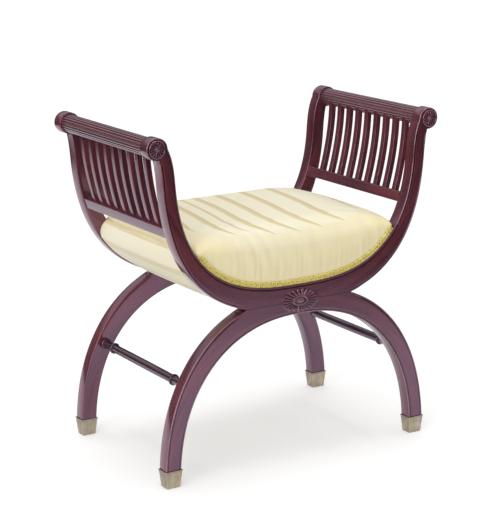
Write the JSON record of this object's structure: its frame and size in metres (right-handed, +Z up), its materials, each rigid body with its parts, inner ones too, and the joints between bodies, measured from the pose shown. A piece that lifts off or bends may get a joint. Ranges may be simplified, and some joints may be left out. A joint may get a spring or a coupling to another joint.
{
  "type": "window bench",
  "caption": "Low window bench with curved X-shaped end frames, scrolled slatted arms, turned stretchers, brass feet and a dished upholstered seat.",
  "frame": {"origin": "on the floor under the middle of the bench", "axes": "+X along the bench from arm to arm, +Y from the front to the back, +Z up"},
  "size_m": [0.6432, 0.384, 0.6602],
  "materials": {
    "mahogany": "polished dark mahogany",
    "brass": "aged, satin",
    "silk": "woven silk with satin stripes",
    "gimp": "woven braid",
    "plywood": "bare"
  },
  "bodies": {
    "root": {"front_u_frame": "mahogany", "front_leg_arch": "mahogany", "front_patera": "mahogany", "front_left_rosette": "mahogany", "front_left_dowel": "mahogany", "front_left_sabot": "brass", "front_right_rosette": "mahogany", "front_right_dowel": "mahogany", "front_right_sabot": "brass", "front_gimp": "gimp", "back_u_frame": "mahogany", "back_leg_arch": "mahogany", "back_patera": "mahogany", "back_left_rosette": "mahogany", "back_left_dowel": "mahogany", "back_left_sabot": "brass", "back_right_rosette": "mahogany", "back_right_dowel": "mahogany", "back_right_sabot": "brass", "back_gimp": "gimp", "left_crest_rail": "mahogany", "left_lower_rail": "mahogany", "left_stretcher": "mahogany", "left_slat_1": "mahogany", "left_slat_2": "mahogany", "left_slat_3": "mahogany", "left_slat_4": "mahogany", "left_slat_5": "mahogany", "left_slat_6": "mahogany", "left_slat_7": "mahogany", "left_slat_8": "mahogany", "left_slat_9": "mahogany", "right_crest_rail": "mahogany", "right_lower_rail": "mahogany", "right_stretcher": "mahogany", "right_slat_1": "mahogany", "right_slat_2": "mahogany", "right_slat_3": "mahogany", "right_slat_4": "mahogany", "right_slat_5": "mahogany", "right_slat_6": "mahogany", "right_slat_7": "mahogany", "right_slat_8": "mahogany", "right_slat_9": "mahogany", "seat_panel": "plywood", "seat_cushion": "silk", "seat_outer_cover": "silk"}
  },
  "joints": []
}
